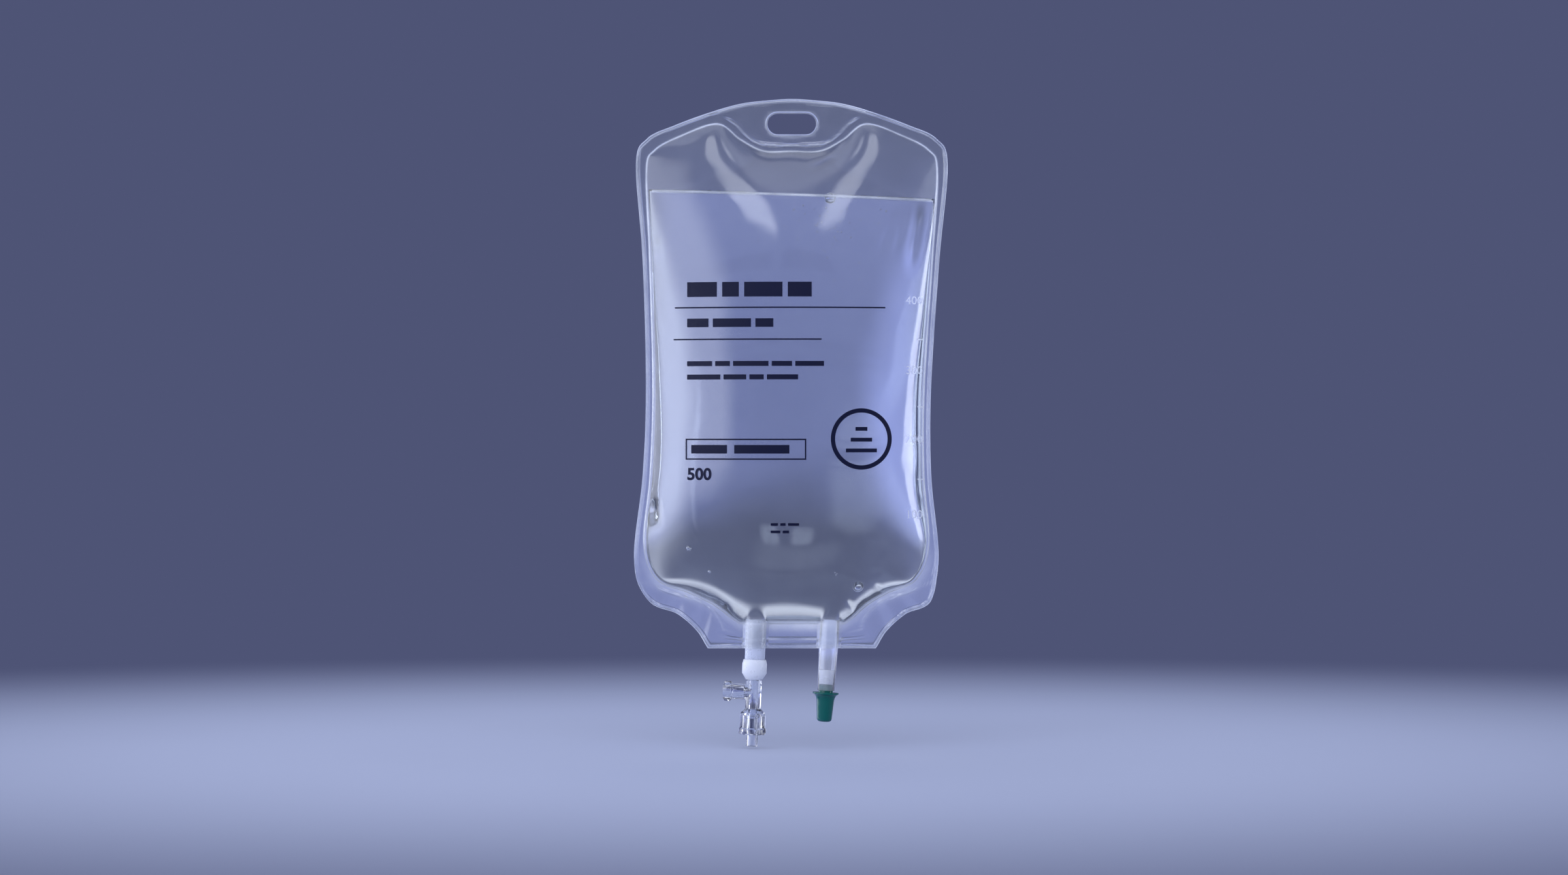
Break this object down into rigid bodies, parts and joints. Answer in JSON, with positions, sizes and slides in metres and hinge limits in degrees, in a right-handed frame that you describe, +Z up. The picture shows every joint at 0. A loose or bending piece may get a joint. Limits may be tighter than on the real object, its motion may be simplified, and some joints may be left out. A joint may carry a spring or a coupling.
{
  "type": "iv fluid bag",
  "caption": "Clear welded bag of infusion solution with a hanger slot, an outlet port with tee and turning lock collar, and a spike port with pull-out stopper.",
  "frame": {"origin": "middle of the hanger slot's upper edge, in the plane of the weld, where the bag's weight is carried", "axes": "+Z up as the bag hangs, +X to the right of someone facing the print, the front film towards -Y"},
  "size_m": [0.132, 0.0452, 0.2726],
  "materials": {
    "clear_film": "clear soft film with a gloss, faintly blue",
    "solution": "clear colourless liquid",
    "milky_tube": "milky translucent soft tube, satin",
    "milky_moulding": "milky white moulding, satin",
    "clear_moulding": "clear hard moulding, high gloss",
    "green_moulding": "teal green soft moulding, satin gloss",
    "ink": "dark navy screen print",
    "scale_ink": "pale embossed scale",
    "air": "air bubbles in the solution"
  },
  "bodies": {
    "bag": {"front_film": "clear_film", "back_film": "clear_film", "fluid": "solution", "outlet_tube": "milky_tube", "outlet_membrane": "milky_moulding", "outlet_collar": "milky_moulding", "tee_connector": "clear_moulding", "spike_tube": "milky_tube", "spike_bush": "milky_moulding"},
    "lock_collar": {"lock_collar": "clear_moulding"},
    "stopper": {"stopper": "green_moulding"}
  },
  "joints": [
    {"name": "lock_collar_spin", "type": "hinge", "parent": "bag", "child": "lock_collar", "pos_m": [-0.01632, 0, -0.25068], "axis": [0.0358, 0, 0.9994], "continuous": true},
    {"name": "stopper_pull", "type": "slide", "parent": "bag", "child": "stopper", "axis": [-0.0586, 0, -0.9983], "range_m": [0, 0.012]}
  ]
}
